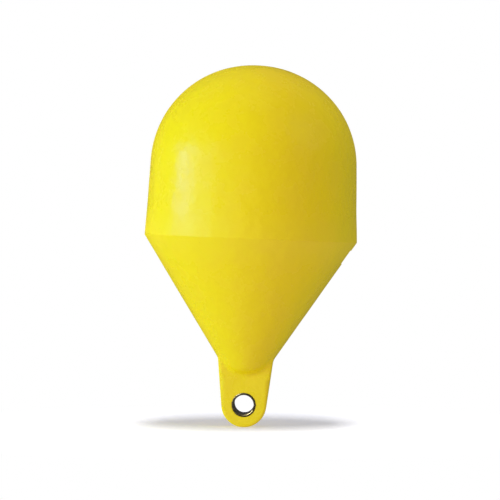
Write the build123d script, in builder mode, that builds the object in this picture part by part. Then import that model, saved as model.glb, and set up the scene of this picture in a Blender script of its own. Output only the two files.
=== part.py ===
from build123d import *

# A moored marker buoy: a hollow polyethylene float, moulded in one with its mooring lug,
# the steel sleeve in the lug's eye, and the plug that closes the filling hole in the cone.
#
# Millimetres, +Z up. The origin is on the float's axis, on the plane of its widest ring,
# where the mould parts and where the moored buoy's waterline lies. The lug's eye runs
# along Y, and the plug faces +X. A depth is measured down from the widest ring.

import os
from math import cos, radians, sin, tan

os.makedirs("parts", exist_ok=True)

# Float
ring_diameter = 400.0
ring_edge_radius = 3.0
wall_height = 135.2  # from the widest ring up to the level where the dome springs
wall_draft = 2.5  # degrees, so that the upper half of the mould draws off
dome_offset = 3.9  # of the dome arc's centre off the axis, which flattens the dome a little
crown_angle = 4.5  # degrees from the axis within which a flatter arc closes the dome
cone_depth = 258.0  # down to the cone's blunt end
cone_end_diameter = 65.0  # where the cone's flank and its blunt end would meet
cone_end_radius = 18.0  # rounding between the flank and the blunt end
skin = 5.0  # wall of the moulding
foot_margin = 12.0  # the solid foot starts where the cone is this much wider than the lug

# Mooring lug under the cone
eye_drop = 54.0  # from the cone's blunt end down to the middle of the eye
lug_end_radius = 42.5  # round end, about the eye
lug_side_lean = 6.3  # degrees that each side leans outwards, going up
lug_thickness = 48.0
lug_edge_radius = 6.0
lug_root_radius = 4.0  # hollow rounding where the lug leaves the cone

# Steel sleeve in the eye
sleeve_diameter = 45.0
sleeve_wall = 4.0
sleeve_stand_out = 0.5  # past the lug's face, at each end
sleeve_chamfer = 0.8
sleeve_clearance = 0.05  # around the sleeve, on the radius

# Flat land in the cone's flank, which seats the plug
land_depth = 28.5  # down to the land's middle
land_height = 30.0  # along the flank
land_recess = 2.3  # below the flank, at the middle

# Plug, with a head that is flush with the land and a stem through the wall
plug_head_diameter = 24.0
plug_head_thickness = 2.5
plug_stem_diameter = 16.0
plug_stem_length = 10.0
plug_stem_chamfer = 1.5
plug_dish_diameter = 15.0
plug_dish_depth = 1.0
plug_clearance = 0.1  # around the head and the stem, on the radius

# Values that follow from those above
ring_radius = ring_diameter / 2
cone_slope = (ring_radius - cone_end_diameter / 2) / cone_depth
wall_top_radius = ring_radius - wall_height * tan(radians(wall_draft))
dome_radius = (wall_top_radius - dome_offset) * cos(radians(wall_draft))
dome_sweep = 90 - wall_draft - crown_angle
crown_radius = dome_radius + dome_offset / sin(radians(crown_angle))
crown_height = wall_height - dome_offset / tan(radians(crown_angle))  # of the arc's centre
eye_depth = cone_depth + eye_drop
lug_side_slope = tan(radians(lug_side_lean))
lug_width_at_ring = lug_end_radius / cos(radians(lug_side_lean)) + eye_depth * lug_side_slope
foot_depth = (ring_radius - lug_width_at_ring - foot_margin) / (cone_slope - lug_side_slope)
sleeve_length = lug_thickness + 2 * sleeve_stand_out

# The flank's surface at the land, facing outwards, with local Y up the flank
flank = Plane(
    origin=(ring_radius - land_depth * cone_slope, 0, -land_depth),
    x_dir=(0, 1, 0),
    z_dir=(1, 0, -cone_slope),
)
land = flank.offset(-land_recess)


def write(piece, name):
    """Labels a finished piece and writes it as its own file."""
    piece.part.label = name
    export_step(piece.part, f"parts/{name}.step")


# Upright section of the float, through its axis, with its four outer corners rounded
with BuildSketch(Plane.XZ) as float_section:
    with BuildLine():
        right = CenterArc((dome_offset, wall_height), dome_radius, wall_draft, dome_sweep)
        CenterArc((0, crown_height), crown_radius, 90 - crown_angle, 2 * crown_angle)
        left = CenterArc((-dome_offset, wall_height), dome_radius, 90 + crown_angle, dome_sweep)
        Polyline(
            right @ 0,
            (ring_radius, 0),
            (cone_end_diameter / 2, -cone_depth),
            (-cone_end_diameter / 2, -cone_depth),
            (-ring_radius, 0),
            left @ 1,
        )
    make_face()
    fillet(float_section.vertices().group_by(Axis.Y)[0], radius=cone_end_radius)
    fillet(float_section.vertices().filter_by_position(Axis.Y, -1, 1), radius=ring_edge_radius)

# The space inside: the same section, drawn in by the skin and closed above the lug
with BuildPart() as cavity:
    with BuildSketch(Plane.XZ):
        offset(float_section.sketch_local, amount=-skin, kind=Kind.INTERSECTION)
        with Locations((0, -foot_depth)):
            Rectangle(ring_diameter, cone_depth, align=(Align.CENTER, Align.MAX), mode=Mode.SUBTRACT)
        split(bisect_by=Plane.YZ)
    revolve(axis=Axis.Z)
    with BuildSketch(land.offset(-skin)):
        Rectangle(ring_diameter, land_height + 2 * skin)
    extrude(amount=ring_radius, mode=Mode.SUBTRACT)

# Lug: two leaning sides and a round end about the eye
with BuildPart() as lug:
    with BuildSketch(Plane.XZ):
        with BuildLine():
            round_end = CenterArc(
                (0, -eye_depth), lug_end_radius, 180 + lug_side_lean, 180 - 2 * lug_side_lean
            )
            top_half_width = lug_width_at_ring - foot_depth * lug_side_slope
            Polyline(
                round_end @ 1,
                (top_half_width, -foot_depth),
                (-top_half_width, -foot_depth),
                round_end @ 0,
            )
        make_face()
    extrude(amount=lug_thickness / 2, both=True)
    face_edges = lug.faces().filter_by(Axis.Y).edges()
    rim = face_edges.filter_by(lambda edge: edge.center().Z < -foot_depth - lug_edge_radius)
    fillet(rim, radius=lug_edge_radius)

# Float: the section turned about the axis, with the lug, less the space inside, the
# land with the plug's stepped hole, and the eye
with BuildPart() as float_shell:
    with BuildSketch(Plane.XZ):
        add(float_section.sketch_local)
        split(bisect_by=Plane.YZ)
    revolve(axis=Axis.Z)
    add(lug.part)
    fillet(float_shell.edges(Select.NEW), radius=lug_root_radius)
    add(cavity.part, mode=Mode.SUBTRACT)
    with BuildSketch(land):
        Rectangle(ring_diameter, land_height)
    extrude(amount=ring_radius, mode=Mode.SUBTRACT)
    with Locations(land):
        CounterBoreHole(
            radius=plug_stem_diameter / 2 + plug_clearance,
            counter_bore_radius=plug_head_diameter / 2 + plug_clearance,
            counter_bore_depth=plug_head_thickness,
            depth=2 * skin,
        )
    with BuildSketch(Plane.XZ):
        with Locations((0, -eye_depth)):
            Circle(sleeve_diameter / 2 + sleeve_clearance)
    extrude(amount=ring_radius, both=True, mode=Mode.SUBTRACT)
write(float_shell, "float_shell")

# Sleeve: a tube through the eye, with its four rims eased
with BuildPart() as eye_sleeve:
    with BuildSketch(Plane.XZ):
        with Locations((0, -eye_depth)):
            Circle(sleeve_diameter / 2)
            Circle(sleeve_diameter / 2 - sleeve_wall, mode=Mode.SUBTRACT)
    extrude(amount=sleeve_length / 2, both=True)
    chamfer(eye_sleeve.edges().filter_by(GeomType.CIRCLE), length=sleeve_chamfer)
write(eye_sleeve, "eye_sleeve")

# Plug: its head on the hole's step, its stem through the wall, and a shallow dish outside
with BuildPart() as filler_plug:
    with BuildSketch(land):
        Circle(plug_head_diameter / 2)
    extrude(amount=-plug_head_thickness)
    with BuildSketch(land.offset(-plug_head_thickness)):
        Circle(plug_stem_diameter / 2)
    extrude(amount=-plug_stem_length)
    tip = filler_plug.faces().sort_by(Axis(land.origin, land.z_dir))[0]
    chamfer(tip.edges(), length=plug_stem_chamfer)
    with Locations(land):
        Hole(radius=plug_dish_diameter / 2, depth=plug_dish_depth)
write(filler_plug, "filler_plug")
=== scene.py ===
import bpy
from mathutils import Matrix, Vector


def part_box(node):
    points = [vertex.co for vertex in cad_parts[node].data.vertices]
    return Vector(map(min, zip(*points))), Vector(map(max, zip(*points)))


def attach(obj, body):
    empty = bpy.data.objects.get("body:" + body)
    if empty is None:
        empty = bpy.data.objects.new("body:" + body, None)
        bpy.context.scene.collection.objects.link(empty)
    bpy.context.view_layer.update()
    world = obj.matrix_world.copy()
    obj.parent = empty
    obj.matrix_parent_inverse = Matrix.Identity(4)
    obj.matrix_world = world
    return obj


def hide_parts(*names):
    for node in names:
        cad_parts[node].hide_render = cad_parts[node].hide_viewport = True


bl_info = {
    "name": "Marker Buoy",
    "version": (1, 0, 0),
    "blender": (4, 5, 0),
    "location": "View3D > Sidebar > Marker Buoy",
    "description": "Dresses the solids of a moulded marker buoy with its skin, steel sleeve and plug",
    "category": "Add Mesh",
}

from contextlib import contextmanager
from math import atan, atan2, cos, hypot, pi, radians, sin, sqrt, tan

import bmesh
import bpy
from bpy.props import FloatProperty, FloatVectorProperty, IntProperty, PointerProperty
from mathutils import Euler, Matrix, Vector

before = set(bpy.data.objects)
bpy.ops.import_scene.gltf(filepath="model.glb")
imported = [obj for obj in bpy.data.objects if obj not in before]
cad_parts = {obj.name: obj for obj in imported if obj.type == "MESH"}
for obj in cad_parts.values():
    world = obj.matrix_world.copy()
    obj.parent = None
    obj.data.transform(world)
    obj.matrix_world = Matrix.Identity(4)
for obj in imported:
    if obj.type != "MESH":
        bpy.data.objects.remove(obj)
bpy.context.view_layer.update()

# Places and sizes that the solids give
shell_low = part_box("float_shell")[0]
sleeve_low, sleeve_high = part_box("eye_sleeve")
EYE_HEIGHT = (sleeve_low.z + sleeve_high.z) / 2
SLEEVE_RADIUS = (sleeve_high.x - sleeve_low.x) / 2
SLEEVE_HALF_LENGTH = sleeve_high.y
LUG_END_RADIUS = EYE_HEIGHT - shell_low.z


class FloatSizes(bpy.types.PropertyGroup):
    """Sizes of the moulded float, in metres, with depths measured down from the widest ring"""

    ring_radius: FloatProperty(
        name="Ring radius", description="Of the widest ring", default=0.200, unit="LENGTH"
    )
    ring_edge_radius: FloatProperty(
        name="Ring edge", description="Rounding of the widest ring", default=0.003, unit="LENGTH"
    )
    wall_height: FloatProperty(
        name="Wall height", description="From the ring up to the dome", default=0.1352, unit="LENGTH"
    )
    wall_draft: FloatProperty(
        name="Wall draft", description="Lean of the wall", default=radians(2.5), unit="ROTATION"
    )
    wall_sink: FloatProperty(
        name="Wall sink",
        description="How far the wall has shrunk in at its middle",
        default=0.0005,
        unit="LENGTH",
    )
    dome_offset: FloatProperty(
        name="Dome offset",
        description="Of the dome arc's centre off the axis",
        default=0.0039,
        unit="LENGTH",
    )
    crown_angle: FloatProperty(
        name="Crown angle",
        description="Half angle of the flatter crown",
        default=radians(4.5),
        unit="ROTATION",
    )
    cone_depth: FloatProperty(
        name="Cone depth", description="Down to the blunt end", default=0.2535, unit="LENGTH"
    )
    cone_end_radius: FloatProperty(
        name="Cone end",
        description="Radius where flank and blunt end would meet",
        default=0.03542,
        unit="LENGTH",
    )
    cone_end_rounding: FloatProperty(
        name="Cone end rounding", description="Between flank and blunt end", default=0.032, unit="LENGTH"
    )
    waves: FloatProperty(
        name="Waves", description="Height of the skin's broad waves", default=0.0009, unit="LENGTH"
    )
    wave_size: FloatProperty(
        name="Wave size", description="Breadth of the skin's broad waves", default=0.085, unit="LENGTH"
    )
    parting_ridge: FloatProperty(
        name="Parting ridge",
        description="Height of the trimmed mould line",
        default=0.0003,
        unit="LENGTH",
    )
    columns: IntProperty(
        name="Columns", description="Steps once around the axis, a multiple of four", default=192
    )


class LugSizes(bpy.types.PropertyGroup):
    """Sizes of the mooring lug under the cone"""

    side_lean: FloatProperty(
        name="Side lean",
        description="Of each side, outwards going up",
        default=radians(6.3),
        unit="ROTATION",
    )
    thickness: FloatProperty(
        name="Thickness", description="From face to face", default=0.048, unit="LENGTH"
    )
    edge_radius: FloatProperty(
        name="Edge radius", description="Rounding of the rim", default=0.006, unit="LENGTH"
    )
    face_root: FloatProperty(
        name="Face root", description="Blend of the cone into the faces", default=0.009, unit="LENGTH"
    )
    side_root: FloatProperty(
        name="Side root", description="Blend of the cone into the sides", default=0.003, unit="LENGTH"
    )
    top_depth: FloatProperty(
        name="Top depth",
        description="Where the cone starts to blend into the lug",
        default=0.190,
        unit="LENGTH",
    )
    eye_gap: FloatProperty(
        name="Eye gap", description="Around the sleeve, on the radius", default=0.00005, unit="LENGTH"
    )
    eye_edge: FloatProperty(
        name="Eye edge",
        description="Rounding of the plastic around the eye",
        default=0.0012,
        unit="LENGTH",
    )


class LandSizes(bpy.types.PropertyGroup):
    """Sizes of the flat land in the cone's flank, and of the plug that it seats"""

    depth: FloatProperty(
        name="Depth", description="Down to the land's middle", default=0.0285, unit="LENGTH"
    )
    height: FloatProperty(
        name="Height", description="Along the flank", default=0.030, unit="LENGTH"
    )
    recess: FloatProperty(
        name="Recess", description="Below the flank at the middle", default=0.0023, unit="LENGTH"
    )
    edge: FloatProperty(
        name="Edge", description="Rounding of the land's edges", default=0.0004, unit="LENGTH"
    )
    plug_radius: FloatProperty(
        name="Plug radius", description="Of the plug's head", default=0.012, unit="LENGTH"
    )
    plug_thickness: FloatProperty(
        name="Plug thickness", description="Of the plug's head", default=0.0025, unit="LENGTH"
    )
    plug_gap: FloatProperty(
        name="Plug gap", description="Around the head, on the radius", default=0.0001, unit="LENGTH"
    )
    stem_radius: FloatProperty(
        name="Stem radius", description="Of the plug's stem", default=0.008, unit="LENGTH"
    )
    stem_length: FloatProperty(
        name="Stem length", description="Below the head", default=0.010, unit="LENGTH"
    )
    dish_radius: FloatProperty(
        name="Dish radius", description="Of the plug's shallow dish", default=0.0075, unit="LENGTH"
    )
    dish_depth: FloatProperty(
        name="Dish depth", description="Of the plug's shallow dish", default=0.001, unit="LENGTH"
    )


class SleeveSizes(bpy.types.PropertyGroup):
    """Sizes of the steel sleeve in the eye"""

    radius: FloatProperty(
        name="Radius", description="Outside", default=SLEEVE_RADIUS, unit="LENGTH"
    )
    wall: FloatProperty(name="Wall", description="Of the tube", default=0.004, unit="LENGTH")
    half_length: FloatProperty(
        name="Half length",
        description="From the middle to a rim",
        default=SLEEVE_HALF_LENGTH,
        unit="LENGTH",
    )
    rim_rounding: FloatProperty(
        name="Rim rounding", description="Eased outer edges of both rims", default=0.0008, unit="LENGTH"
    )
    bore_rounding: FloatProperty(
        name="Bore rounding",
        description="Inner edges of both rims, as a shackle wears them",
        default=0.0019,
        unit="LENGTH",
    )


class BuoyColours(bpy.types.PropertyGroup):
    """Colours of the finishes"""

    skin: FloatVectorProperty(
        name="Skin",
        description="Moulded yellow polyethylene",
        default=(0.93, 0.735, 0.006),
        subtype="COLOR",
    )
    plug: FloatVectorProperty(
        name="Plug",
        description="Smoother yellow polyethylene",
        default=(0.90, 0.68, 0.010),
        subtype="COLOR",
    )
    steel: FloatVectorProperty(
        name="Steel", description="Dulled steel tube", default=(0.30, 0.275, 0.175), subtype="COLOR"
    )


class StageSettings(bpy.types.PropertyGroup):
    """Camera, floor and lamps"""

    distance: FloatProperty(
        name="Distance", description="From the origin to the camera", default=3.02, unit="LENGTH"
    )
    azimuth: FloatProperty(
        name="Azimuth",
        description="Of the camera, from the front towards +X",
        default=radians(1.6),
        unit="ROTATION",
    )
    elevation: FloatProperty(
        name="Elevation",
        description="Of the camera above the ring",
        default=radians(0.2),
        unit="ROTATION",
    )
    roll: FloatProperty(
        name="Roll",
        description="By which the buoy leans to the right",
        default=radians(2.3),
        unit="ROTATION",
    )
    aim_x: FloatProperty(
        name="Aim X",
        description="Of the point that the camera looks at",
        default=-0.0005,
        unit="LENGTH",
    )
    aim_z: FloatProperty(
        name="Aim Z",
        description="Of the point that the camera looks at",
        default=-0.0217,
        unit="LENGTH",
    )
    lens: FloatProperty(name="Lens", description="Focal length in millimetres", default=115.3)
    floor_fall: FloatProperty(
        name="Floor fall", description="Away from the camera", default=radians(3.0), unit="ROTATION"
    )


# Places closer than TINY, in metres, are taken as one. Places on a cut are less exact and get TOUCH,
# and the doubles of the lug's end END_MERGE.
TINY = 1e-6
TOUCH = 1e-5
END_MERGE = 5e-6

# Steps along each stretch of the float's section, and once around each round cut or piece
SECTION_STEPS = {"dome": 64, "crown": 4, "wall": 18, "cone": 22, "foot": 56, "end": 48}
SLEEVE_STEPS = 96
PLUG_STEPS = 72
# Steps across each rounded edge
ROUND_STEPS = {"ring": 6, "ridge": 2, "eye": 4, "land": 3, "seat": 3, "rim": 6, "plug": 4}
# How often a distance is halved when the end of a form is looked for
HALVINGS = 30

# Depth that the foot's blend leaves free above the lug's plain part
BLEND_MARGIN = 0.0015
# The foot's surface is looked for out to this many times the cone's radius at the foot's top
FOOT_SEARCH = 1.3

# The skin's waves fade in over WAVE_FADE above the foot, and between two distances from the land's
# middle, in land heights
WAVE_FADE = 0.040
WAVE_FREE = (1.4, 3.0)

# Edges that turn by more than this stay sharp
SKIN_SHARP = radians(32)
FITTING_SHARP = radians(40)

# Details of the plug, and the roundings of its outer edges, in metres
PLUG_NUB_RADIUS = 0.0012
PLUG_NUB_HEIGHT = 0.0004
PLUG_CHAMFER = 0.0015
NUB_ROUNDING = 0.0002
NUB_FOOT_ROUNDING = 0.0001
DISH_ROUNDING = 0.0004
HEAD_ROUNDING = 0.0006

# Breadth of a moulded skin's pebbles, orange peel and ripple, each under the input for its height
GRAIN_SIZES = {"Pebble height": 0.0016, "Peel height": 0.0075, "Ripple height": 0.028}
# Breadth of its blotches and of its specks, and the noise values between which they come up
BLOTCH_SIZE = 0.045
BLOTCH_LIMITS = (0.35, 0.70)
SPECK_SIZE = 0.0035
SPECK_LIMITS = (0.74, 0.80)

# Relief in metres, amount of specks, and roughness of the two plastics
SKIN_FINISH = {
    "heights": {"Pebble height": 0.00006, "Peel height": 0.00045, "Ripple height": 0.00160},
    "speck_amount": 0.5,
    "roughness": 0.27,
}
PLUG_FINISH = {
    "heights": {"Pebble height": 0.00001, "Peel height": 0.00002, "Ripple height": 0.00003},
    "speck_amount": 0.3,
    "roughness": 0.30,
}
# What blotches add to the roughness, and what is left of the colour in faded blotches and in specks
BLOTCH_ROUGHNESS = (-0.03, 0.04)
FADED_TINT = (1.0, 0.975, 1.6)
SPECK_TINT = (0.72, 0.66, 1.0)

# The skin is rubbed dull near the widest ring, where the buoy touches what it lies against
RUB_REACH = 0.060
RUB_DULLING = 0.15

# The chalky bloom of weathered polyethylene, which keeps the outline as bright as the middle
SHEEN_WEIGHT = 0.45
SHEEN_ROUGHNESS = 0.35

# The steel's drawn lines, which are stretched along the tube, and its brown stains
LINE_SIZE = 0.0009
LINE_STRETCH = (1.0, 0.04, 1.0)
LINE_HEIGHT = 0.00006
LINE_ROUGHNESS = (0.18, 0.42)
STAIN_SIZE = 0.010
STAIN_LIMITS = (0.42, 0.68)
STAIN_TINT = (0.45, 0.38, 0.28)
STEEL_METALLIC = 0.95

WHITE = (1, 1, 1, 1)

# The floor, the glow that lifts it to white about the shadow, the glow that reaches the buoy from
# it, and how far from the buoy it starts and ends to fade into the white background
FLOOR_SIZE = 6.0
FLOOR_COLOUR = (0.8, 0.8, 0.8, 1)
FLOOR_LIFT = 0.36
FLOOR_LIFT_COLOUR = (0.75, 0.78, 1, 1)
FLOOR_GLOW = 0.62
SHADOW_REACH = 0.45
SHADOW_END = 0.72
# The world's strength as light, and in gloss
WORLD_LIGHT = 0.30
WORLD_GLOSS = 0.08

# The camera's sensor in millimetres, and how far it sees in metres
SENSOR_WIDTH = 36
VIEW_END = 100

# Name, azimuth and elevation in degrees, distance, width, height, power, colour and whether it shows
# in gloss, of each lamp. An azimuth is from the front, towards +X, as seen from above. The last
# three give the highlight on the wall.
LAMPS = (
    ("left_softbox", -58, 3, 2.2, 1.3, 1.5, 30.0, (0.57, 1.0, 0.65), False),
    ("front_fill", -15, -6, 2.4, 1.4, 1.4, 12.8, (1.0, 0.36, 0.40), False),
    ("back_left", -128, -4, 2.4, 1.4, 1.4, 25.0, (1.0, 0.76, 0.40), False),
    ("right_high", 65, 35, 2.4, 1.4, 1.4, 6.0, (0.66, 0.95, 1.0), False),
    ("overhead", 0, 82, 2.6, 1.4, 1.4, 20.7, (1.0, 0.92, 0.80), False),
    ("back_top", 180, 58, 2.4, 3.0, 1.2, 18.8, (1.0, 0.78, 0.50), False),
    ("low_shine", -76, 5, 2.2, 0.80, 0.32, 3.1, (0.05, 0.25, 1.0), True),
    ("middle_shine", -79, 12, 2.2, 0.65, 0.32, 3.2, (0.05, 0.22, 1.0), True),
    ("high_shine", -74, 19, 2.2, 0.55, 0.26, 0.4, (0.05, 1.0, 0.60), True),
)
# It lights the steel sleeve alone, for the bright rim of the eye
SLEEVE_LAMP = ("sleeve_lamp", -62, 40, 1.5, 1.4, 1.2, 120.0, (1.0, 0.96, 0.80), True)
# High above and a little in front of the buoy, it lights the floor alone, for a soft flat shadow
FLOOR_LAMP = ("floor_lamp", 0, 73.5, 6.0, 1.3, 3.6, 370.0, (1.0, 1.0, 1.0), False)


def select_only(piece):
    """Makes a piece the active object and the only selected one."""
    bpy.ops.object.select_all(action="DESELECT")
    piece.select_set(True)
    bpy.context.view_layer.objects.active = piece


@contextmanager
def editing(piece):
    """Opens a piece in edit mode for vertices, with nothing selected, and closes it again."""
    select_only(piece)
    bpy.ops.object.mode_set(mode="EDIT")
    bpy.ops.mesh.select_mode(type="VERT")
    bpy.ops.mesh.select_all(action="DESELECT")
    yield
    bpy.ops.object.mode_set(mode="OBJECT")


def open_mesh():
    """The mesh that is open in edit mode."""
    return bmesh.from_edit_mesh(bpy.context.edit_object.data)


def select_mesh():
    """Selects the whole open mesh."""
    bpy.ops.mesh.select_all(action="SELECT")


def pick(kind, test):
    """Selects those vertices, edges or faces of the open mesh that pass a test."""
    bpy.ops.mesh.select_mode(type=kind)
    bpy.ops.mesh.select_all(action="DESELECT")
    mesh = open_mesh()
    items = {"VERT": mesh.verts, "EDGE": mesh.edges, "FACE": mesh.faces}[kind]
    for item in items:
        if test(item):
            item.select_set(True)
    mesh.select_flush_mode()
    bmesh.update_edit_mesh(bpy.context.edit_object.data)


def pick_edges(test):
    """Selects those edges of the open mesh whose two ends pass a test."""
    pick("EDGE", lambda edge: all(test(end) for end in edge.verts))


def round_edges(size, steps):
    """Rounds the selected edges of the open mesh."""
    bpy.ops.mesh.bevel(offset=size, segments=steps, affect="EDGES")


def merge_doubles(reach=TINY):
    """Merges the vertices of the open mesh that lie in one place."""
    select_mesh()
    bpy.ops.mesh.remove_doubles(threshold=reach)


def face_outwards():
    """Points all faces of the open mesh outwards."""
    select_mesh()
    bpy.ops.mesh.normals_make_consistent(inside=False)


def revolve(steps):
    """Turns the open section once about the Z axis and closes the seam that this leaves."""
    select_mesh()
    bpy.ops.mesh.spin(steps=steps, angle=2 * pi, center=(0, 0, 0), axis=(0, 0, 1))
    merge_doubles()


def single_vertex(name, x, z):
    """Adds a piece that is one vertex of a section in the XZ plane."""
    bpy.ops.object.select_all(action="DESELECT")
    bpy.ops.mesh.primitive_plane_add()
    piece = bpy.context.object
    piece.name = piece.data.name = name
    with editing(piece):
        select_mesh()
        bpy.ops.mesh.merge(type="CENTER")
        bpy.ops.transform.translate(value=(x, 0, z))
    return piece


def draw_to(x, z):
    """Draws the section on from its selected vertex to a point."""
    here = next(v.co.copy() for v in open_mesh().verts if v.select)
    bpy.ops.mesh.extrude_region_move(TRANSFORM_OT_translate={"value": Vector((x, 0, z)) - here})


def draw_arc(centre_x, centre_z, angle, steps):
    """Draws the section on from its selected vertex along an arc."""
    bpy.ops.mesh.spin(steps=steps, angle=angle, center=(centre_x, 0, centre_z), axis=(0, 1, 0))


def apply_modifier(piece, kind, **settings):
    """Adds a modifier with its settings and applies it."""
    select_only(piece)
    modifier = piece.modifiers.new(kind.title(), kind)
    for name, value in settings.items():
        setattr(modifier, name, value)
    bpy.ops.object.modifier_apply(modifier=modifier.name)


def set_in_place(piece, place):
    """Moves a piece to its place in the frame and puts that place into its mesh."""
    piece.matrix_world = place
    select_only(piece)
    bpy.ops.object.transform_apply(location=True, rotation=True, scale=True)


def smoothstep(low, high, value):
    """0 below low, 1 above high and smooth between them."""
    share = min(max((value - low) / (high - low), 0), 1)
    return share * share * (3 - 2 * share)


def find_edge(outer, is_inside):
    """The distance, up to an outer one, at which the inside ends, found by halving."""
    inner = 0.0
    for _ in range(HALVINGS):
        middle = (inner + outer) / 2
        if is_inside(middle):
            inner = middle
        else:
            outer = middle
    return inner


class FloatShape:
    """The formulas of the float and its lug."""

    def __init__(self, sizes, lug):
        self.sizes = sizes
        self.lug = lug
        self.slope = (sizes.ring_radius - sizes.cone_end_radius) / sizes.cone_depth
        self.flank_angle = atan(self.slope)
        draft = sizes.wall_draft
        wall_top_radius = sizes.ring_radius - sizes.wall_height * tan(draft)
        self.dome_radius = (wall_top_radius - sizes.dome_offset) * cos(draft)
        # Where the dome's arc leaves the leaning wall
        self.spring_z = sizes.wall_height + self.dome_radius * sin(draft)
        self.spring_x = sizes.ring_radius - self.spring_z * tan(draft)
        # Below this depth the cone's blend no longer reaches the lug's faces
        self.plain_depth = sizes.cone_depth + lug.face_root + BLEND_MARGIN
        # Centre of the rounding between the flank and the blunt end
        turn = pi / 2 - self.flank_angle
        self.round_x = sizes.cone_end_radius - sizes.cone_end_rounding * tan(turn / 2)
        self.round_z = sizes.cone_end_rounding - sizes.cone_depth

    def cone_radius(self, z):
        """Radius of the cone's flank at a height."""
        return self.sizes.ring_radius + z * self.slope

    def cone_distance(self, radius, z):
        """Signed distance from the cone with its rounded blunt end."""
        flank = (radius - self.cone_radius(z)) * cos(self.flank_angle)
        blunt = -self.sizes.cone_depth - z
        out_x = radius - self.round_x
        out_z = z - self.round_z
        below = atan2(-out_z, out_x)
        if out_z < 0 < out_x and below > self.flank_angle:
            return hypot(out_x, out_z) - self.sizes.cone_end_rounding
        if out_z < 0 and out_x <= 0:
            return blunt
        return max(flank, blunt)

    def lug_half_width(self, z):
        """Half the lug's width at a height."""
        lean = self.lug.side_lean
        return LUG_END_RADIUS / cos(lean) + (z - EYE_HEIGHT) * tan(lean)

    def lug_distance(self, half_width, x, y):
        """Signed distance from the lug's rounded section of a half width."""
        rounding = self.lug.edge_radius
        out_x = abs(x) - half_width + rounding
        out_y = abs(y) - self.lug.thickness / 2 + rounding
        inside = min(max(out_x, out_y), 0)
        return hypot(max(out_x, 0), max(out_y, 0)) + inside - rounding

    def root(self, angle):
        """Size of the blend between cone and lug in a direction about the axis."""
        share = sin(angle) ** 2
        return self.lug.side_root + share * (self.lug.face_root - self.lug.side_root)

    def foot_radius(self, angle, z):
        """Where the blend of cone and lug lies in a direction at a height."""
        root = self.root(angle)
        half_width = self.lug_half_width(z)

        def is_inside(radius):
            cone = self.cone_distance(radius, z)
            lug = self.lug_distance(half_width, radius * cos(angle), radius * sin(angle))
            near = max(root - abs(cone - lug), 0)
            return min(cone, lug) - near * near / (4 * root) < 0

        return find_edge(self.cone_radius(-self.lug.top_depth) * FOOT_SEARCH, is_inside)

    def end_section(self, angle):
        """Where the rounded section of the lug's end meets a direction, as (along X, along Y)."""

        def is_inside(radius):
            return self.lug_distance(LUG_END_RADIUS, radius * cos(angle), radius * sin(angle)) < 0

        radius = find_edge(2 * LUG_END_RADIUS, is_inside)
        return radius * cos(angle), radius * sin(angle)


def turn_float(shape):
    """Turns the section of dome, wall, cone and a stub for the foot about the axis."""
    sizes = shape.sizes
    skin = single_vertex("float_skin", sizes.ring_radius, 0)
    crown_drop = sizes.dome_offset / tan(sizes.crown_angle)
    foot_top = -shape.lug.top_depth

    def divide_below(height, steps):
        pick("EDGE", lambda e: min(v.co.z for v in e.verts) < height)
        bpy.ops.mesh.subdivide(number_cuts=steps - 1)

    def draw_stretch(x, low, high, steps):
        pick("VERT", lambda v: v.co.z < high + TINY)
        draw_to(x, low)
        divide_below(high - TINY, steps)

    with editing(skin):
        select_mesh()
        draw_to(shape.spring_x, shape.spring_z)
        dome_angle = pi / 2 - sizes.wall_draft - sizes.crown_angle
        draw_arc(sizes.dome_offset, sizes.wall_height, dome_angle, SECTION_STEPS["dome"])
        draw_arc(0, sizes.wall_height - crown_drop, sizes.crown_angle, SECTION_STEPS["crown"])
        divide_below(TINY, SECTION_STEPS["wall"])
        draw_stretch(shape.cone_radius(foot_top), foot_top, 0, SECTION_STEPS["cone"])
        draw_stretch(LUG_END_RADIUS, -shape.plain_depth, foot_top, SECTION_STEPS["foot"])
        pick("VERT", lambda v: v.co.z < -shape.plain_depth + TINY)
        draw_to(LUG_END_RADIUS, EYE_HEIGHT)
        revolve(sizes.columns)
    return skin


def sink_wall(skin, shape):
    """Draws the wall in a little at mid height, as the cooling plastic does."""
    height = shape.sizes.wall_height
    for vertex in skin.data.vertices:
        if 0 < vertex.co.z < height:
            inwards = shape.sizes.wall_sink * sin(pi * vertex.co.z / height) ** 2
            flat = Vector((vertex.co.x, vertex.co.y, 0))
            vertex.co -= flat.normalized() * inwards


def round_ring(skin, shape):
    """Rounds the widest ring and leaves the mould's trimmed parting line proud on it."""
    sizes = shape.sizes
    back = sizes.ring_edge_radius * tan((shape.flank_angle + sizes.wall_draft) / 2)
    with editing(skin):
        pick_edges(lambda v: abs(v.co.z) < TINY)
        round_edges(back, ROUND_STEPS["ring"])
        middle = min((v.co.z for v in open_mesh().verts), key=abs)
        pick_edges(lambda v: abs(v.co.z - middle) < 2 * TINY)
        round_edges(sizes.parting_ridge, ROUND_STEPS["ridge"])
        pick_edges(lambda v: abs(v.co.z - middle) < 2 * TINY)
        grow = 1 + sizes.parting_ridge / sizes.ring_radius
        bpy.ops.transform.resize(value=(grow, grow, 1), center_override=(0, 0, 0))


def shape_foot(skin, shape):
    """Moves the stub's rows onto the blend of cone and lug, and its last row to the round end's start."""
    top = -shape.lug.top_depth - TINY
    last = EYE_HEIGHT + TINY
    lean = shape.lug.side_lean
    for vertex in skin.data.vertices:
        angle = atan2(vertex.co.y, vertex.co.x)
        if vertex.co.z < last:
            across, along = shape.end_section(angle)
            vertex.co = (across * cos(lean), along, EYE_HEIGHT - abs(across) * sin(lean))
        elif vertex.co.z < top:
            radius = shape.foot_radius(angle, vertex.co.z)
            vertex.co.x = radius * cos(angle)
            vertex.co.y = radius * sin(angle)


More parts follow.
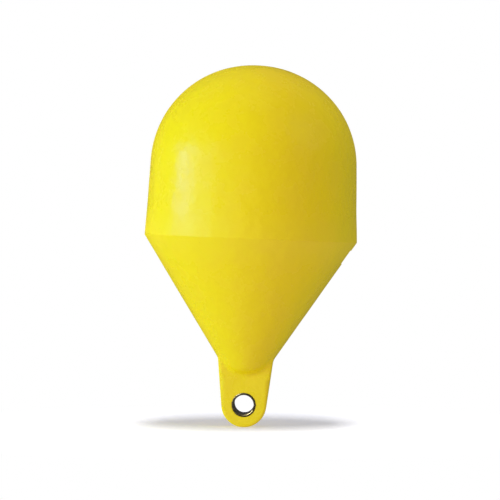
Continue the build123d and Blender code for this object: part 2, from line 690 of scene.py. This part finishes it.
def turn_lug_end(skin, shape):
    """Turns the right half of the last row about the eye, down and round to the left half."""
    lean = shape.lug.side_lean

    def on_right_plane(vertex):
        drop = EYE_HEIGHT - vertex.co.z - vertex.co.x * tan(lean)
        return vertex.co.x > -TINY and abs(drop) < 2 * TINY

    with editing(skin):
        pick_edges(on_right_plane)
        bpy.ops.mesh.spin(
            steps=SECTION_STEPS["end"],
            angle=-(pi - 2 * lean),
            center=(0, 0, EYE_HEIGHT),
            axis=(0, 1, 0),
        )
        merge_doubles(END_MERGE)
        # Each flat face of the lug becomes one face
        for side in (-shape.lug.thickness / 2, shape.lug.thickness / 2):
            pick(
                "FACE",
                lambda f: all(abs(v.co.y - side) < 2 * TINY for v in f.verts)
                and all(v.co.z < -shape.plain_depth + TINY for v in f.verts),
            )
            bpy.ops.mesh.dissolve_faces()
        face_outwards()


def land_place(scene):
    """Frame of the land's plane: X level, Y up the flank and Z outwards."""
    sizes = scene.buoy_float
    land = scene.buoy_land
    slope = (sizes.ring_radius - sizes.cone_end_radius) / sizes.cone_depth
    outwards = Vector((1, 0, -slope)).normalized()
    across = Vector((0, 1, 0))
    up = outwards.cross(across)
    middle = Vector((sizes.ring_radius - land.depth * slope, 0, -land.depth)) - land.recess * outwards
    return Matrix.Translation(middle) @ Matrix((across, up, outwards)).transposed().to_4x4()


def wave_skin(skin, scene):
    """Gives the skin slight broad waves, as it has cooled, away from the lug and the land."""
    sizes = scene.buoy_float
    place = land_place(scene).inverted()
    near, far = (share * scene.buoy_land.height for share in WAVE_FREE)
    free = skin.vertex_groups.new(name="free_skin")
    foot_top = -scene.buoy_lug.top_depth
    for vertex in skin.data.vertices:
        above_foot = smoothstep(foot_top, foot_top + WAVE_FADE, vertex.co.z)
        off_land = smoothstep(near, far, (place @ vertex.co).length)
        free.add([vertex.index], above_foot * off_land, "REPLACE")
    waves = bpy.data.textures.new("skin_waves", "CLOUDS")
    waves.noise_scale = sizes.wave_size
    waves.noise_depth = 1
    apply_modifier(
        skin,
        "DISPLACE",
        texture=waves,
        texture_coords="LOCAL",
        strength=sizes.waves,
        vertex_group=free.name,
    )
    skin.vertex_groups.clear()


def cut_away(piece, cutter):
    """Cuts one piece out of another and removes it."""
    apply_modifier(piece, "BOOLEAN", operation="DIFFERENCE", solver="EXACT", object=cutter)
    bpy.data.objects.remove(cutter)


def cut_hole(piece, place, radius, depth, steps):
    """Cuts a round hole about the Z axis of a place, as deep to both sides of it."""
    bpy.ops.object.select_all(action="DESELECT")
    bpy.ops.mesh.primitive_cylinder_add(vertices=steps, radius=radius, depth=2 * depth)
    cutter = bpy.context.object
    cutter.matrix_world = place
    cut_away(piece, cutter)


def eye_place():
    """Frame of the eye: its middle, with Z along the bore."""
    return Matrix.Translation((0, 0, EYE_HEIGHT)) @ Matrix.Rotation(pi / 2, 4, "X")


def cut_eye(skin, scene):
    """Cuts the eye through the lug and rounds the plastic at both ends of it."""
    lug = scene.buoy_lug
    radius = scene.buoy_sleeve.radius + lug.eye_gap
    half = lug.thickness / 2
    cut_hole(skin, eye_place(), radius, 2 * half, SLEEVE_STEPS)

    def on_rim(vertex):
        from_axis = hypot(vertex.co.x, vertex.co.z - EYE_HEIGHT)
        return abs(from_axis - radius) < TOUCH and abs(abs(vertex.co.y) - half) < TOUCH

    with editing(skin):
        pick_edges(on_rim)
        round_edges(lug.eye_edge, ROUND_STEPS["eye"])


def cut_land(skin, scene):
    """Cuts the flat land into the flank and rounds its edges."""
    land = scene.buoy_land
    place = land_place(scene)
    inverse = place.inverted()
    bpy.ops.object.select_all(action="DESELECT")
    bpy.ops.mesh.primitive_cube_add(size=1)
    block = bpy.context.object
    # The block is wide enough to leave the flank on both sides
    block_size = Matrix.Diagonal((5 * land.height, land.height, land.height, 1))
    block.matrix_world = place @ Matrix.Translation((0, 0, land.height / 2)) @ block_size
    cut_away(skin, block)

    def on_land(face):
        spots = [inverse @ v.co for v in face.verts]
        floor = all(abs(spot.z) < TOUCH for spot in spots)
        walls = all(abs(abs(spot.y) - land.height / 2) < TOUCH for spot in spots)
        near = all(spot.length < 2 * land.height for spot in spots)
        return near and (floor or walls)

    # The land's upper and lower walls are rounded as far out as they are tall enough for it
    shape = FloatShape(scene.buoy_float, scene.buoy_lug)
    flank_radius = shape.cone_radius(-land.depth) / cos(shape.flank_angle)
    reach = sqrt(2 * flank_radius * (land.recess - 2 * land.edge))

    def on_tall_wall(edge):
        tall = all(abs((inverse @ v.co).x) < reach for v in edge.verts)
        beside_land = any(on_land(f) for f in edge.link_faces)
        return tall and beside_land and edge.calc_face_angle(0) > SKIN_SHARP

    with editing(skin):
        pick("EDGE", on_tall_wall)
        round_edges(land.edge, ROUND_STEPS["land"])


def cut_plug_seat(skin, scene):
    """Cuts the plug's stepped hole into the land and rounds its rim."""
    land = scene.buoy_land
    place = land_place(scene)
    inverse = place.inverted()
    head_radius = land.plug_radius + land.plug_gap
    hole_depth = land.plug_thickness + land.stem_length + land.edge
    cut_hole(skin, place, head_radius, land.plug_thickness, PLUG_STEPS)
    cut_hole(skin, place, land.stem_radius + land.plug_gap, hole_depth, PLUG_STEPS)

    def on_rim(vertex):
        spot = inverse @ vertex.co
        return abs(spot.z) < TOUCH and abs(hypot(spot.x, spot.y) - head_radius) < TOUCH

    with editing(skin):
        pick_edges(on_rim)
        round_edges(land.edge / 2, ROUND_STEPS["seat"])


def smooth_over(piece, angle):
    """Smooths a piece's shading except over edges sharper than an angle."""
    select_only(piece)
    bpy.ops.object.shade_smooth_by_angle(angle=angle)
    apply_modifier(piece, "WEIGHTED_NORMAL", keep_sharp=True, weight=50)


def build_float(scene):
    """Makes the moulded float with its lug, land and eye."""
    shape = FloatShape(scene.buoy_float, scene.buoy_lug)
    skin = turn_float(shape)
    sink_wall(skin, shape)
    round_ring(skin, shape)
    shape_foot(skin, shape)
    turn_lug_end(skin, shape)
    wave_skin(skin, scene)
    cut_eye(skin, scene)
    cut_land(skin, scene)
    cut_plug_seat(skin, scene)
    smooth_over(skin, SKIN_SHARP)
    return skin


def build_sleeve(scene):
    """Makes the steel tube in the eye, with the edges of its rims worn round."""
    sizes = scene.buoy_sleeve
    inside = sizes.radius - sizes.wall
    tube = single_vertex("steel_sleeve", inside, -sizes.half_length)
    with editing(tube):
        select_mesh()
        draw_to(inside, sizes.half_length)
        draw_to(sizes.radius, sizes.half_length)
        draw_to(sizes.radius, -sizes.half_length)
        draw_to(inside, -sizes.half_length)
        merge_doubles()
        revolve(SLEEVE_STEPS)
        face_outwards()
        for radius, rounding in ((inside, sizes.bore_rounding), (sizes.radius, sizes.rim_rounding)):
            pick_edges(
                lambda v: abs(abs(v.co.z) - sizes.half_length) < TINY
                and abs(hypot(v.co.x, v.co.y) - radius) < TOUCH
            )
            round_edges(rounding, ROUND_STEPS["rim"])
    set_in_place(tube, eye_place())
    smooth_over(tube, FITTING_SHARP)
    return tube


def build_plug(scene):
    """Makes the plug with its rounded head, shallow dish, moulding nub and stem."""
    land = scene.buoy_land
    dish_floor = -land.dish_depth
    nub_top = dish_floor + PLUG_NUB_HEIGHT
    stem_end = -land.plug_thickness - land.stem_length
    plug = single_vertex("moulded_plug", 0, nub_top)
    # Radius, height and rounding of each corner, from the nub out and down to the stem's end
    corners = (
        (PLUG_NUB_RADIUS, nub_top, NUB_ROUNDING),
        (PLUG_NUB_RADIUS, dish_floor, NUB_FOOT_ROUNDING),
        (land.dish_radius - land.dish_depth, dish_floor, DISH_ROUNDING),
        (land.dish_radius, 0, DISH_ROUNDING),
        (land.plug_radius, 0, HEAD_ROUNDING),
        (land.plug_radius, -land.plug_thickness, 0),
        (land.stem_radius, -land.plug_thickness, 0),
        (land.stem_radius, stem_end + PLUG_CHAMFER, 0),
        (land.stem_radius - PLUG_CHAMFER, stem_end, 0),
        (0, stem_end, 0),
    )
    with editing(plug):
        select_mesh()
        for radius, height, _ in corners:
            draw_to(radius, height)
        revolve(PLUG_STEPS)
        face_outwards()
        for radius, height, rounding in corners:
            if rounding:
                pick_edges(
                    lambda v: abs(hypot(v.co.x, v.co.y) - radius) < TINY
                    and abs(v.co.z - height) < TINY
                )
                round_edges(rounding, ROUND_STEPS["plug"])
    set_in_place(plug, land_place(scene))
    smooth_over(plug, FITTING_SHARP)
    return plug


def add_node(tree, kind, inputs=None, **settings):
    """Adds a shader node, sets its fields, and sets or links its inputs."""
    node = tree.nodes.new(kind)
    for name, value in settings.items():
        setattr(node, name, value)
    for name, value in (inputs or {}).items():
        if isinstance(value, bpy.types.NodeSocket):
            tree.links.new(value, node.inputs[name])
        else:
            node.inputs[name].default_value = value
    return node


def clear_tree(owner):
    """Gives a material or world an empty node tree."""
    owner.use_nodes = True
    owner.node_tree.nodes.clear()
    return owner.node_tree


def maths(tree, operation, *values):
    """Adds a math node and gives its result."""
    return add_node(tree, "ShaderNodeMath", dict(enumerate(values)), operation=operation).outputs[0]


def noise(tree, vector, size, detail, roughness=0.5):
    """Adds noise whose blotches are about a size across, in metres, and gives its value."""
    inputs = {"Vector": vector, "Scale": 1 / size, "Detail": detail, "Roughness": roughness}
    return add_node(tree, "ShaderNodeTexNoise", inputs).outputs["Fac"]


def ramp(tree, value, low, high):
    """Adds a smooth step from 0 at low to 1 at high."""
    inputs = {"Value": value, "From Min": low, "From Max": high}
    node = add_node(tree, "ShaderNodeMapRange", inputs, interpolation_type="SMOOTHSTEP")
    return node.outputs["Result"]


def spread(tree, value, low, high):
    """Adds a straight map of 0 to 1 onto low to high."""
    inputs = {"Value": value, "To Min": low, "To Max": high}
    return add_node(tree, "ShaderNodeMapRange", inputs).outputs["Result"]


def blend_colours(tree, mask, first, second):
    """Mixes two colours, or sockets of colours, by a mask."""
    # The node's colours are its inputs 6 and 7, and their mix is its output 2
    node = add_node(tree, "ShaderNodeMix", {0: mask, 6: first, 7: second}, data_type="RGBA")
    return node.outputs[2]


def bumps(tree, height):
    """Adds a bump of a height in metres and gives its normal."""
    inputs = {"Strength": 1.0, "Distance": 1.0, "Height": height}
    return add_node(tree, "ShaderNodeBump", inputs).outputs["Normal"]


def tinted(colour, tint=(1, 1, 1)):
    """A colour as a shader's socket takes it, with each of its parts multiplied by a tint's."""
    return (*(part * share for part, share in zip(colour, tint)), 1)


def new_group(name, inputs, outputs):
    """Makes an empty node group with a Vector input and named float inputs and outputs."""
    group = bpy.data.node_groups.new(name, "ShaderNodeTree")
    group.interface.new_socket("Vector", in_out="INPUT", socket_type="NodeSocketVector")
    for socket in inputs:
        group.interface.new_socket(socket, in_out="INPUT", socket_type="NodeSocketFloat")
    for socket in outputs:
        group.interface.new_socket(socket, in_out="OUTPUT", socket_type="NodeSocketFloat")
    return group, group.nodes.new("NodeGroupInput"), group.nodes.new("NodeGroupOutput")


def moulded_grain_group():
    """Height in metres of a moulded plastic's fine pebbles, orange peel and broad ripple."""
    group, given, result = new_group("moulded_grain", GRAIN_SIZES, ["Height"])
    vector = given.outputs["Vector"]
    pebbles, peel, ripple = (
        maths(group, "MULTIPLY", noise(group, vector, size, detail=1.0), given.outputs[height])
        for height, size in GRAIN_SIZES.items()
    )
    total = maths(group, "ADD", maths(group, "ADD", pebbles, peel), ripple)
    group.links.new(total, result.inputs["Height"])
    return group


def mottle_group():
    """Masks of soft blotches and of sparse small specks."""
    group, given, result = new_group("mottle", ["Speck amount"], ["Blotches", "Specks"])
    vector = given.outputs["Vector"]
    blotches = noise(group, vector, BLOTCH_SIZE, detail=4.0, roughness=0.6)
    group.links.new(ramp(group, blotches, *BLOTCH_LIMITS), result.inputs["Blotches"])
    specks = ramp(group, noise(group, vector, SPECK_SIZE, detail=1.0), *SPECK_LIMITS)
    thinned = maths(group, "MULTIPLY", specks, given.outputs["Speck amount"])
    group.links.new(thinned, result.inputs["Specks"])
    return group


def add_group(tree, name, make, inputs):
    """Adds a shared node group, which is made when it is first asked for, and gives its outputs."""
    group = bpy.data.node_groups.get(name) or make()
    return add_node(tree, "ShaderNodeGroup", inputs, node_tree=group).outputs


def plastic_material(name, colour, heights, speck_amount, roughness):
    """Satin polyethylene with a pebbled skin, faint blotches and specks."""
    material = bpy.data.materials.new(name)
    tree = clear_tree(material)
    place = add_node(tree, "ShaderNodeTexCoord").outputs["Object"]
    grain = add_group(tree, "moulded_grain", moulded_grain_group, {"Vector": place, **heights})
    marks = add_group(tree, "mottle", mottle_group, {"Vector": place, "Speck amount": speck_amount})
    tone = blend_colours(tree, marks["Blotches"], tinted(colour), tinted(colour, FADED_TINT))
    tone = blend_colours(tree, marks["Specks"], tone, tinted(colour, SPECK_TINT))
    height = add_node(tree, "ShaderNodeSeparateXYZ", {"Vector": place}).outputs["Z"]
    inwards = maths(tree, "SUBTRACT", RUB_REACH, maths(tree, "ABSOLUTE", height))
    rubbed = maths(tree, "MULTIPLY", ramp(tree, inwards, 0.0, RUB_REACH), RUB_DULLING)
    smoothest, dullest = (roughness + change for change in BLOTCH_ROUGHNESS)
    dulled = spread(tree, marks["Blotches"], smoothest, dullest)
    shader = add_node(
        tree,
        "ShaderNodeBsdfPrincipled",
        {
            "Base Color": tone,
            "Roughness": maths(tree, "ADD", dulled, rubbed),
            "Normal": bumps(tree, grain["Height"]),
            "Specular IOR Level": 0.5,
            "IOR": 1.5,
            "Sheen Weight": SHEEN_WEIGHT,
            "Sheen Roughness": SHEEN_ROUGHNESS,
            "Sheen Tint": tinted(colour),
        },
    )
    add_node(tree, "ShaderNodeOutputMaterial", {"Surface": shader.outputs["BSDF"]})
    return material


def steel_material(colour):
    """Dulled steel tube with lines along its length and brown stains."""
    material = bpy.data.materials.new("dulled_steel")
    tree = clear_tree(material)
    place = add_node(tree, "ShaderNodeTexCoord").outputs["Object"]
    along = add_node(tree, "ShaderNodeMapping", {"Vector": place, "Scale": LINE_STRETCH})
    lines = noise(tree, along.outputs["Vector"], LINE_SIZE, detail=3.0)
    stains = ramp(tree, noise(tree, place, STAIN_SIZE, detail=4.0, roughness=0.6), *STAIN_LIMITS)
    shader = add_node(
        tree,
        "ShaderNodeBsdfPrincipled",
        {
            "Base Color": blend_colours(tree, stains, tinted(colour), tinted(colour, STAIN_TINT)),
            "Metallic": STEEL_METALLIC,
            "Roughness": spread(tree, lines, *LINE_ROUGHNESS),
            "Normal": bumps(tree, maths(tree, "MULTIPLY", lines, LINE_HEIGHT)),
        },
    )
    add_node(tree, "ShaderNodeOutputMaterial", {"Surface": shader.outputs["BSDF"]})
    return material


def dress(piece, node, material):
    """Gives a finished piece its finish and its place in the frame, and hides the solid of the node that
    it stands for.
    """
    piece.data.materials.clear()
    piece.data.materials.append(material)
    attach(piece, "root")
    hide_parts(node)


def spot_around(azimuth, elevation, distance):
    """A place about the buoy, by its angles from the front and its distance."""
    level = cos(elevation)
    return distance * Vector((sin(azimuth) * level, -cos(azimuth) * level, sin(elevation)))


def point_at(place, target):
    """Rotation that turns a lamp or camera to look from a place at a target."""
    return (target - place).to_track_quat("-Z", "Y")


def add_softbox(name, azimuth, elevation, distance, width, height, power, colour, in_gloss):
    """Adds a rectangular lamp that points at the buoy, with its two angles in degrees."""
    place = spot_around(radians(azimuth), radians(elevation), distance)
    turn = point_at(place, Vector()).to_euler()
    bpy.ops.object.light_add(type="AREA", location=place, rotation=turn)
    lamp = bpy.context.object
    lamp.name = lamp.data.name = name
    lamp.data.shape = "RECTANGLE"
    lamp.data.size = width
    lamp.data.size_y = height
    lamp.data.energy = power
    lamp.data.color = colour
    lamp.visible_glossy = in_gloss
    return lamp


def link_lamp(lamp, piece, state):
    """Makes a lamp light one piece alone, with INCLUDE, or all pieces but that one, with EXCLUDE."""
    linked = bpy.data.collections.new(f"{lamp.name}_{state.lower()}")
    linked.objects.link(piece)
    linked.collection_objects[0].light_linking.link_state = state
    lamp.light_linking.receiver_collection = linked
    if state == "EXCLUDE":
        # The piece that a lamp passes by casts no shadow in its light either
        lamp.light_linking.blocker_collection = linked


def place_camera(stage):
    """Places the camera at the photograph's viewing angle, rolled so that the buoy leans."""
    place = spot_around(stage.azimuth, stage.elevation, stage.distance)
    level = point_at(place, Vector((stage.aim_x, 0, stage.aim_z)))
    turn = level @ Euler((0, 0, stage.roll)).to_quaternion()
    bpy.ops.object.camera_add(location=place, rotation=turn.to_euler())
    camera = bpy.context.object
    camera.name = "photo_camera"
    camera.data.lens = stage.lens
    camera.data.sensor_width = SENSOR_WIDTH
    camera.data.clip_end = VIEW_END
    bpy.context.scene.camera = camera


def white_world():
    """World that is white to the camera, and dim as light and in gloss, like a draped studio."""
    world = bpy.data.worlds.new("studio")
    bpy.context.scene.world = world
    tree = clear_tree(world)
    path = add_node(tree, "ShaderNodeLightPath").outputs
    draped = spread(tree, path["Is Glossy Ray"], WORLD_LIGHT, WORLD_GLOSS)
    seen = maths(tree, "MAXIMUM", path["Is Camera Ray"], path["Is Transmission Ray"])
    strength = maths(tree, "MAXIMUM", seen, draped)
    sky = add_node(tree, "ShaderNodeBackground", {"Color": WHITE, "Strength": strength})
    add_node(tree, "ShaderNodeOutputWorld", {"Surface": sky.outputs["Background"]})


def glow(tree, strength, colour=WHITE):
    """Adds a surface that gives off light of its own."""
    inputs = {"Color": colour, "Strength": strength}
    return add_node(tree, "ShaderNodeEmission", inputs).outputs["Emission"]


def blend_surfaces(tree, mask, first, second):
    """Mixes two surfaces by a mask."""
    return add_node(tree, "ShaderNodeMixShader", {0: mask, 1: first, 2: second}).outputs["Shader"]


def floor_material():
    """White floor that keeps the shadow near the buoy and fades into the white background."""
    material = bpy.data.materials.new("studio_floor")
    tree = clear_tree(material)
    path = add_node(tree, "ShaderNodeLightPath").outputs
    place = add_node(tree, "ShaderNodeTexCoord").outputs["Object"]
    away = add_node(tree, "ShaderNodeVectorMath", {0: place}, operation="LENGTH").outputs["Value"]
    matt = add_node(tree, "ShaderNodeBsdfDiffuse", {"Color": FLOOR_COLOUR}).outputs["BSDF"]
    lift = glow(tree, FLOOR_LIFT, FLOOR_LIFT_COLOUR)
    near = add_node(tree, "ShaderNodeAddShader", {0: matt, 1: lift}).outputs["Shader"]
    fading = ramp(tree, away, SHADOW_REACH, SHADOW_END)
    shown = blend_surfaces(tree, fading, near, glow(tree, 1.0))
    # Its light on the buoy is the same all over, whatever the camera sees of it
    seen = blend_surfaces(tree, path["Is Camera Ray"], glow(tree, FLOOR_GLOW), shown)
    add_node(tree, "ShaderNodeOutputMaterial", {"Surface": seen})
    return material


def build_stage(scene):
    """Sets the floor, the lamps, the world and the camera."""
    stage = scene.buoy_stage
    bpy.ops.object.select_all(action="DESELECT")
    # The tilted floor just touches the lug's end, at the back edge of its straight part
    straight = scene.buoy_lug.thickness / 2 - scene.buoy_lug.edge_radius
    height = shell_low.z - straight * tan(stage.floor_fall)
    bpy.ops.mesh.primitive_plane_add(size=FLOOR_SIZE, location=(0, 0, height))
    floor = bpy.context.object
    floor.name = "studio_floor"
    floor.rotation_euler = (-stage.floor_fall, -stage.roll, 0)
    floor.data.materials.append(floor_material())
    floor.visible_glossy = False
    for lamp in LAMPS:
        link_lamp(add_softbox(*lamp), floor, "EXCLUDE")
    link_lamp(add_softbox(*FLOOR_LAMP), floor, "INCLUDE")
    sleeve = bpy.data.objects.get("steel_sleeve")
    if sleeve:
        link_lamp(add_softbox(*SLEEVE_LAMP), sleeve, "INCLUDE")
    white_world()
    place_camera(stage)
    scene.view_settings.view_transform = "Standard"


class BuildFloat(bpy.types.Operator):
    """Model the moulded float with its lug, land and eye"""

    bl_idname = "buoy.build_float"
    bl_label = "Build Float"

    def execute(self, context):
        colour = context.scene.buoy_colours.skin
        material = plastic_material("yellow_polyethylene", colour, **SKIN_FINISH)
        dress(build_float(context.scene), "float_shell", material)
        return {"FINISHED"}


class BuildSleeve(bpy.types.Operator):
    """Model the steel sleeve in the eye"""

    bl_idname = "buoy.build_sleeve"
    bl_label = "Build Sleeve"

    def execute(self, context):
        material = steel_material(context.scene.buoy_colours.steel)
        dress(build_sleeve(context.scene), "eye_sleeve", material)
        return {"FINISHED"}


class BuildPlug(bpy.types.Operator):
    """Model the plug of the filling hole"""

    bl_idname = "buoy.build_plug"
    bl_label = "Build Plug"

    def execute(self, context):
        colour = context.scene.buoy_colours.plug
        material = plastic_material("plug_polyethylene", colour, **PLUG_FINISH)
        dress(build_plug(context.scene), "filler_plug", material)
        return {"FINISHED"}


class BuildStage(bpy.types.Operator):
    """Set the floor, the lamps, the background and the camera"""

    bl_idname = "buoy.build_stage"
    bl_label = "Build Stage"

    def execute(self, context):
        build_stage(context.scene)
        return {"FINISHED"}


class BuoyPanel(bpy.types.Panel):
    """Lists the steps that dress the buoy"""

    bl_idname = "BUOY_PT_steps"
    bl_label = "Marker Buoy"
    bl_space_type = "VIEW_3D"
    bl_region_type = "UI"
    bl_category = "Marker Buoy"

    def draw(self, context):
        for step in STEPS:
            self.layout.operator(step.bl_idname)


STEPS = (BuildFloat, BuildSleeve, BuildPlug, BuildStage)
SETTINGS = {
    "buoy_float": FloatSizes,
    "buoy_lug": LugSizes,
    "buoy_land": LandSizes,
    "buoy_sleeve": SleeveSizes,
    "buoy_colours": BuoyColours,
    "buoy_stage": StageSettings,
}


def register():
    for kind in (*SETTINGS.values(), *STEPS, BuoyPanel):
        bpy.utils.register_class(kind)
    for name, kind in SETTINGS.items():
        setattr(bpy.types.Scene, name, PointerProperty(type=kind))


def unregister():
    for name in SETTINGS:
        delattr(bpy.types.Scene, name)
    for kind in (BuoyPanel, *reversed(STEPS), *reversed(SETTINGS.values())):
        bpy.utils.unregister_class(kind)


def main():
    register()
    bpy.ops.buoy.build_float()
    bpy.ops.buoy.build_sleeve()
    bpy.ops.buoy.build_plug()
    bpy.ops.buoy.build_stage()


if __name__ == "__main__":
    main()
